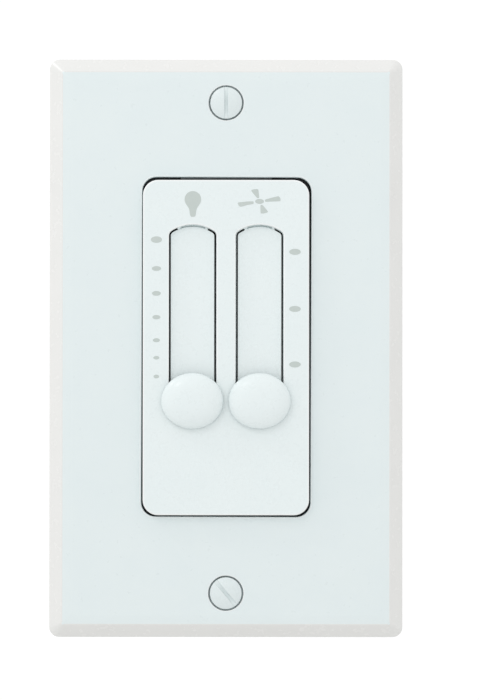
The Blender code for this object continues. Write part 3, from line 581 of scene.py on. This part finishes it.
def front_bezel():
    width, height, corner = 32.8, 66.12, 3.0
    skin = BEZEL_FRONT_Y + 1.8
    form = Form()
    outline = rounded(width, height, corner, 0.0, 0.04)
    rings = lip(outline, BEZEL_FRONT_Y, 0.28, -1, 6) + [(outline, BEZEL_BACK_Y)]
    face, back = form.stack(rings)
    cavity = rounded(width - 3.0, height - 3.0, corner - 1.5, 0.0, 0.04)
    cavity_edge, cavity_foot = form.stack([(cavity, BEZEL_BACK_Y), (grown(cavity, -0.06), skin)])
    form.bridge(back, cavity_edge)
    mouths, inside = [], []
    for x, half, slit_widths, leans in CHANNELS:
        mouth, slits = channel(form, x, half, slit_widths, leans)
        mouths.append(mouth)
        trough = rounded(11.6, 42.0, 1.8, x, 5.1)
        top, foot = form.stack([(trough, FLOOR_BACK_Y), (grown(trough, 0.08), skin)])
        form.fill(top, *slits)
        inside.append(foot)
    for x in (-12.8, 12.8):
        for z in (-28.8, 28.8):
            pin = (1.15, skin), (1.1, -0.5), (0.8, -0.2)
            foot, tip = form.stack([(circle(x, z, radius, 24), y) for radius, y in pin])
            form.shape.faces.new(tip)
            inside.append(foot)
    form.fill(face, *mouths)
    form.fill(cavity_foot, *inside)
    bezel = form.object("bezel_moulding")
    finish_piece(bezel, "white_moulding", stands_for=["front_bezel"], sharp=50, finish="insert_moulding")
    # painted highlight: the bezel's rounded front lips get the brighter lip copy
    paint_light_on_faces(bezel, LIP_PAINTED_HIGHLIGHT, lambda c: BEZEL_FRONT_Y + 0.001 < c.y < BEZEL_FRONT_Y + 0.2)
    for name, side in (("upper", 1), ("lower", -1)):
        edge = rounded(18.0, 3.3, 0.4, 0.0, side * 33.75, 3)
        catch = sheet("bezel_catch_painted_shade_" + name, [edge], -3.1, BEZEL_BACK_Y)
        # painted shade: the catches are part of the white bezel moulding but take the dark grey finish, so
        # that the gap round the insert reads dark
        finish_piece(catch, "white_moulding", finish="grey_moulding")


# Knobs


def knob(node, body):
    low, high = span(node)
    x, z = (low.x + high.x) / 2, (low.z + high.z) / 2
    radius, rise, rim, wall = high.x - x, high.y - low.y, 0.5, 1.3
    profile = [(radius - 0.9, high.y), (radius - 0.12, high.y), (radius, high.y - 0.12)]

    def dome(reach, height, steps):
        rows = []
        for i in range(steps, -1, -1):
            share = math.sin(math.pi / 2 * i / steps)
            rows.append((reach * share, high.y - rim - height * (1 - share**2.7) ** 0.6))
        return rows

    profile += dome(radius, rise - rim, 30)
    inner = dome(radius - wall, rise - rim - wall, 12)[::-1]
    profile_in = inner + [(radius - wall, high.y), (radius - 0.9, high.y)]
    form = Form()
    flatten = (high.z - low.z) / (high.x - low.x)
    loops = []
    for reach, y in profile + profile_in[:-1]:
        if reach < 1e-6:
            loops.append(form.loop([(x, z)], y))
        else:
            oval = [(x + px * reach, z + pz * reach * flatten) for px, pz in circle(0, 0, 1, 96)]
            loops.append(form.loop(oval, y))
    outside = len(profile)
    for first, second in zip(loops[:outside], loops[1:outside]):
        form.bridge(first, second)
    for first, second in zip(loops[outside:], loops[outside + 1 :]):
        form.bridge(first, second)
    form.bridge(loops[-1], loops[0])
    finish_piece(form.object(node + "_cap"), "white_moulding", body, [node], 60, "insert_moulding")


# Screws


def slot_cutter(name, x, z, top, half_width, floor, lip_size, angle, reach):
    """A slot's bent cutter. top(r) is the head's surface, which the slot's softened lips follow."""
    form = Form()
    turn = math.radians(angle)
    rings = []
    for i in range(33):
        along = reach * (i / 16 - 1)
        section = [(-half_width, floor), (half_width, floor)]
        right = []
        for step in range(5):
            bend = math.pi / 2 * step / 4
            u = half_width + lip_size * (1 - math.cos(bend))
            right.append((u, top(math.hypot(u, along)) + lip_size * (1 - math.sin(bend))))
        right.append((half_width + lip_size, floor - 4.0))
        section += right + [(-u, y) for u, y in reversed(right)]
        ring = []
        for u, y in section:
            px = x + u * math.cos(turn) + along * math.sin(turn)
            pz = z - u * math.sin(turn) + along * math.cos(turn)
            ring.append(form.shape.verts.new((px * MM, y * MM, pz * MM)))
        rings.append(ring)
    for first, second in zip(rings, rings[1:]):
        form.bridge(first, second)
    form.shape.faces.new(rings[0])
    form.shape.faces.new(rings[-1])
    return form.object(name)


def plate_screw(node, angle):
    low, high = span(node)
    x, z = (low.x + high.x) / 2, (low.z + high.z) / 2
    radius, oval = (high.x - low.x) / 2 - 0.27, 0.6
    rim = low.y + oval

    def top(distance):
        return rim - oval * max(0.0, 1 - (distance / radius) ** 2)

    profile = [(0.0, low.y)] + [(radius * i / 14, top(radius * i / 14)) for i in range(1, 14)]
    profile += [(radius - 0.04, rim - 0.02), (radius, rim + 0.03), (radius, rim + 0.2), (1.7, rim + 1.3)]
    profile += [(1.7, high.y - 0.8), (1.0, high.y), (0.0, high.y)]
    screw = turned(node + "_turned", x, z, profile, 72, thread=(rim + 2.0, high.y - 0.9, 0.794, 0.24))
    carve(screw, slot_cutter(node + "_slot", x, z, top, 0.34, rim - 0.05, 0.12, angle, radius + 0.6))
    finish_piece(screw, "white_screw", stands_for=[node])


def pan_screw(node, slot, angle, shank, pitch):
    """A pan-head screw with a slot, and a thread under its head."""
    low, high = span(node)
    x, z = (low.x + high.x) / 2, (low.z + high.z) / 2
    radius = (high.x - low.x) / 2
    seat = -1.6
    rise = seat - low.y

    def top(distance):
        return low.y + rise * 0.18 * min(1.0, distance / radius) ** 3

    profile = [(0.0, low.y)] + [(radius * i / 10, top(radius * i / 10)) for i in range(1, 9)]
    profile += [(radius * 0.92, low.y + rise * 0.24), (radius, low.y + rise * 0.5), (radius, seat - 0.08)]
    profile += [(radius - 0.08, seat), (shank, seat), (shank, high.y - 0.6)]
    profile += [(shank * 0.6, high.y), (0.0, high.y)]
    thread = seat + 0.5, high.y - 0.7, pitch, shank * 0.15
    screw = turned(node + "_turned", x, z, profile, 48, thread=thread)
    half_width, slot_floor = min(0.42, radius * 0.14), low.y + rise * 0.5
    cutter = slot_cutter(node + "_slot", x, z, top, half_width, slot_floor, 0.06, angle, radius + 0.6)
    carve(screw, cutter)
    finish_piece(screw, slot, stands_for=[node])


# Yoke, retainers and housing


def yoke():
    low, high = span("yoke")
    front, back = low.y, high.y
    body_x, body_z, ear_x, end_z = high.x, 36.0, 12.0, high.z
    quarter = arc(body_x - 1, body_z - 1, 1.0, 0, 90, 5)
    quarter += arc(ear_x + 1.2, body_z + 1.2, 1.2, 270, 180, 5)
    quarter += arc(ear_x - 3, end_z - 3, 3.0, 0, 90, 8)
    upper = quarter + mirrored(quarter)
    outline = upper + [(-x, -z) for x, z in upper]
    holes = []
    for side in (1, -1):
        holes.append(stadium(0, side * 41.66, 4.4, 6.8, across=True))
        holes.append(circle(0, side * PLATE_HOLE_Z, 1.9, 32))
        holes.append(stadium(side * 6.62, 5.2, 3.0, 38.2))
        for across in (1, -1):
            holes.append(circle(across * 12.8, side * 28.8, 1.4, 24))
            holes.append(circle(across * 19.2, side * 30.7, 1.6, 24))
    for x, z, radius in ((-8.2, -46.2, 1.9), (-6.5, -21.5, 1.7), (7.5, -24.0, 2.2)):
        holes.append(circle(x, z, radius, 28))
    strap = sheet("yoke_strap", [outline, *holes], front, back, 0.15)
    finish_piece(strap, "yoke_metal", stands_for=["yoke"])


def retainers():
    for name in ("screw_retainer_upper", "screw_retainer_lower"):
        low, high = span(name)
        z = (low.z + high.z) / 2
        outline = rounded(high.x - low.x, high.z - low.z, 0.5, 0.0, z, 4)
        washer = sheet(name + "_fibre", [outline, circle(0, z, 1.9, 28)], low.y, high.y, 0.08)
        finish_piece(washer, "red_fibre", stands_for=[name])


def back_housing():
    low, high = span("back_housing")
    width, height = high.x - low.x, high.z - low.z
    front, back, wall = low.y, high.y, 1.8
    form = Form()

    def side(inset, y):
        return rounded(width - 2 * inset, height - 2 * inset, 2.2 - inset * 0.5), y

    rings = [side(0.1, front), side(0.0, front + 0.1), side(0.0, front + 2.2), side(0.06, front + 2.3)]
    rings += [side(0.40, front + 2.45), side(0.50, back - 1.0)]
    for i in range(1, 7):
        bend = math.pi / 2 * i / 6
        rings.append(side(0.50 + 1.0 * (1 - math.cos(bend)), back - 1.0 + 1.0 * math.sin(bend)))
    mouth, back_face = form.stack(rings)
    cavity = rounded(width - 2 * wall - 0.6, height - 2 * wall - 0.6, 1.2)
    cavity_mouth, cavity_foot = form.stack([(cavity, front), (grown(cavity, -0.2), back - wall)])
    form.bridge(mouth, cavity_mouth)
    hole_rings = lip(circle(0, 23.0, 5.4), 0.0, 0.2, 1, 3)
    hole = [(points, back - depth) for points, depth in hole_rings] + [(circle(0, 23.0, 5.4), back - wall)]
    hole_back, hole_front = form.stack(hole)
    recess = rounded(30.0, 20.0, 1.2, 0.0, -5.0)
    steps = (0.0, 0.0), (-0.12, -0.06), (-0.16, -0.35)
    recess_edge, recess_floor = form.stack([(grown(recess, inset), back + drop) for inset, drop in steps])
    form.fill(recess_floor)
    marks = []
    for x, z in ((-16.0, 26.0), (16.0, 26.0), (-16.0, -26.0), (16.0, -26.0)):
        mark = [(circle(x, z, 2.0, 32), back), (circle(x, z, 1.92, 32), back - 0.12)]
        mark_edge, mark_floor = form.stack(mark)
        form.fill(mark_floor)
        marks.append(mark_edge)
    form.fill(back_face, hole_back, recess_edge, *marks)
    form.fill(cavity_foot, hole_front)
    finish_piece(form.object("housing_moulding"), "black_moulding", stands_for=["back_housing"])


def grommet():
    low, high = span("lead_grommet")
    x, z = (low.x + high.x) / 2, (low.z + high.z) / 2
    front, back, bore, waist, flange = low.y, high.y, 3.6, 5.1, 6.6
    groove = (front + 1.1, back - 1.4)
    profile = [(bore, front + 0.2), (bore + 0.2, front), (flange - 0.3, front), (flange, front + 0.3)]
    profile += [(flange, groove[0] - 0.15), (flange - 0.15, groove[0]), (waist, groove[0])]
    profile += [(waist, groove[1]), (flange - 0.15, groove[1]), (flange, groove[1] + 0.15)]
    profile += [(flange, back - 0.7), (flange - 0.15, back - 0.35)]
    profile += [(flange - 0.6, back), (bore + 0.5, back), (bore + 0.12, back - 0.15), (bore, back - 0.5)]
    form = Form()
    loops = [form.loop(circle(x, z, radius, 56), y) for radius, y in profile]
    for first, second in zip(loops, loops[1:] + loops[:1]):
        form.bridge(first, second)
    finish_piece(form.object("grommet_ring"), "black_rubber", stands_for=["lead_grommet"])


# Print


def printed(name, outline):
    """A thin film of ink on the bezel's face."""
    form = Form()
    front, back = form.stack([(outline, BEZEL_FRONT_Y - 0.012), (outline, BEZEL_FRONT_Y + 0.004)])
    form.fill(front)
    form.fill(back)
    finish_piece(form.object(name), "grey_print")


def ellipse(x, z, width, height, steps=32):
    return [(x + px * width / 2, z + pz * height / 2) for px, pz in circle(0, 0, 1, steps)]


def smooth_outline(points, rounds=2):
    """The outline with its corners cut back, so that it runs in curves."""
    for _ in range(rounds):
        cut = []
        for i, (x, z) in enumerate(points):
            next_x, next_z = points[(i + 1) % len(points)]
            cut.append((x * 0.86 + next_x * 0.14, z * 0.86 + next_z * 0.14))
            cut.append((x * 0.14 + next_x * 0.86, z * 0.14 + next_z * 0.86))
        points = cut
    return points


def bulb_symbol(x, top):
    globe = arc(x, top - 1.66, 1.64, -38, 218, 30)
    flare = [(x - 0.80, top - 3.42), (x - 0.68, top - 3.9), (x - 0.58, top - 4.6), (x - 0.50, top - 4.92)]
    foot = [(x - 0.30, top - 5.1), (x + 0.30, top - 5.1)]
    printed("bulb_symbol", globe + flare + foot + [(2 * x - px, pz) for px, pz in reversed(flare)])


def fan_symbol(x, z):
    blades = {
        "right": ((1.00, 0.33), (2.37, 0.74), (3.78, 1.06), (4.12, 0.62), (4.12, 0.02), (2.37, -0.03),
                  (1.12, -0.10)),
        "left": ((-1.16, 0.03), (-1.16, -0.52), (-2.37, -0.70), (-3.66, -1.10), (-4.10, -0.90),
                 (-4.38, -0.22), (-2.40, 0.0)),
        "upper": ((-0.50, 0.66), (-1.64, 2.06), (-1.55, 2.30), (-0.95, 2.42), (-0.24, 2.42), (-0.04, 0.66)),
        "lower": ((0.16, -0.68), (0.62, -0.72), (1.68, -1.98), (1.52, -2.20), (0.84, -2.40), (0.18, -2.38)),
    }
    for name, points in blades.items():
        printed("fan_symbol_" + name, smooth_outline([(x + px, z + pz) for px, pz in points]))
    printed("fan_symbol_hub", ellipse(x, z, 1.76, 0.98))


def print_marks():
    bulb_symbol(-6.55, 30.9)
    fan_symbol(6.6, 28.85)
    left = ((21.3, 2.2, 1.3), (15.6, 1.85, 0.95), (10.7, 1.75, 0.95), (6.0, 1.6, 0.85))
    left += ((1.46, 1.4, 0.8), (-2.0, 1.2, 0.7), (-5.7, 1.1, 0.75))
    for number, (z, width, height) in enumerate(left, start=1):
        printed(f"light_level_mark_{number}", ellipse(-13.72, z, width, height))
    for number, z in enumerate((18.9, 7.65, -3.3), start=1):
        printed(f"fan_speed_mark_{number}", ellipse(13.6, z, 2.3, 1.2))


# Stage


def stage():
    floor = Form()
    disc = floor.loop(circle(0, 0, 340.0, 96), 0.0)
    floor.fill(disc)
    ground = floor.object("floor")
    ground.rotation_euler = (math.pi / 2, 0.0, 0.0)
    ground.location = (0.0, 0.0, -0.1)
    paint = look("floor_paint", (0.80, 0.80, 0.79), (0.78, 0.78, 0.775), (0.55, 0.7), blotch=0.01,
                 grain=1.0)
    ground.data.materials.append(paint)


# The studio's brightness in front and behind, and how much it changes towards +X and towards +Z
FRONT_LEVEL = 0.985
BACK_LEVEL = 1.04
SIDE_SLOPE = (-0.06, 0.072)


def sky():
    """A white studio that is a little brighter from the upper left."""
    world = bpy.data.worlds.new("studio")
    bpy.context.scene.world = world
    world.use_nodes = True
    nodes, links = world.node_tree.nodes, world.node_tree.links
    ground = nodes["Background"]
    place = nodes.new("ShaderNodeTexCoord")
    parts = nodes.new("ShaderNodeSeparateXYZ")
    links.new(place.outputs["Generated"], parts.inputs["Vector"])
    depth = nodes.new("ShaderNodeMapRange")
    depth.interpolation_type = "SMOOTHSTEP"
    links.new(parts.outputs["Y"], depth.inputs["Value"])
    depth.inputs["From Min"].default_value = 0.0
    depth.inputs["From Max"].default_value = 0.7
    depth.inputs["To Min"].default_value = FRONT_LEVEL
    depth.inputs["To Max"].default_value = BACK_LEVEL
    slope = nodes.new("ShaderNodeVectorMath")
    slope.operation = "DOT_PRODUCT"
    slope.inputs[1].default_value = (SIDE_SLOPE[0], 0.0, SIDE_SLOPE[1])
    links.new(place.outputs["Generated"], slope.inputs[0])
    level = nodes.new("ShaderNodeMath")
    level.operation = "ADD"
    links.new(depth.outputs["Result"], level.inputs[0])
    links.new(slope.outputs["Value"], level.inputs[1])
    links.new(level.outputs["Value"], ground.inputs["Strength"])
    ground.inputs["Color"].default_value = (1.0, 1.0, 1.0, 1.0)


def lamp(name, place, size, power, colour=(1.0, 1.0, 1.0)):
    data = bpy.data.lights.new(name, "AREA")
    data.shape = "DISK"
    data.size = size
    data.energy = power
    data.color = colour
    obj = bpy.data.objects.new(name, data)
    obj.location = place
    obj.rotation_euler = (-Vector(place)).to_track_quat("-Z", "Y").to_euler()
    bpy.context.scene.collection.objects.link(obj)


def camera():
    """Nearly straight on, from a little below the part."""
    distance, picture_height, sensor = 960.0, 138.2, 36.0
    turn, rise, roll = 0.0, math.radians(-1.0), math.radians(0.05)
    data = bpy.data.cameras.new("camera")
    data.lens = distance * sensor / picture_height
    data.sensor_width = sensor
    data.clip_start = 0.01
    data.clip_end = 20.0
    obj = bpy.data.objects.new("camera", data)
    aim = Vector((2.67, span("wall_plate")[0].y, -0.43))
    toward = Vector((math.sin(turn) * math.cos(rise), -math.cos(turn) * math.cos(rise), math.sin(rise)))
    obj.location = (aim + toward * distance) * MM
    obj.rotation_euler = ((-toward).to_track_quat("-Z", "Y") @ Quaternion((0, 0, 1), roll)).to_euler()
    bpy.context.scene.collection.objects.link(obj)
    bpy.context.scene.camera = obj


wall_plate()
front_bezel()
knob("light_knob", "light_slider")
knob("fan_knob", "fan_slider")
plate_screw("wall_plate_screw_upper", 0.0)
plate_screw("wall_plate_screw_lower", -40.0)
yoke()
retainers()
back_housing()
grommet()
pan_screw("device_screw_upper", "plated_steel", 20.0, 1.7, 0.794)
pan_screw("device_screw_lower", "plated_steel", -35.0, 1.7, 0.794)
pan_screw("ground_screw", "green_screw", 55.0, 1.6, 0.794)
print_marks()
dress_plain_nodes()
stage()
sky()
lamp("key", (-0.35, -0.55, 0.50), 0.09, 0.36)
lamp("rim", (-0.42, -0.115, 0.42), 0.05, 0.22)
camera()
bpy.context.scene.view_settings.view_transform = "Standard"
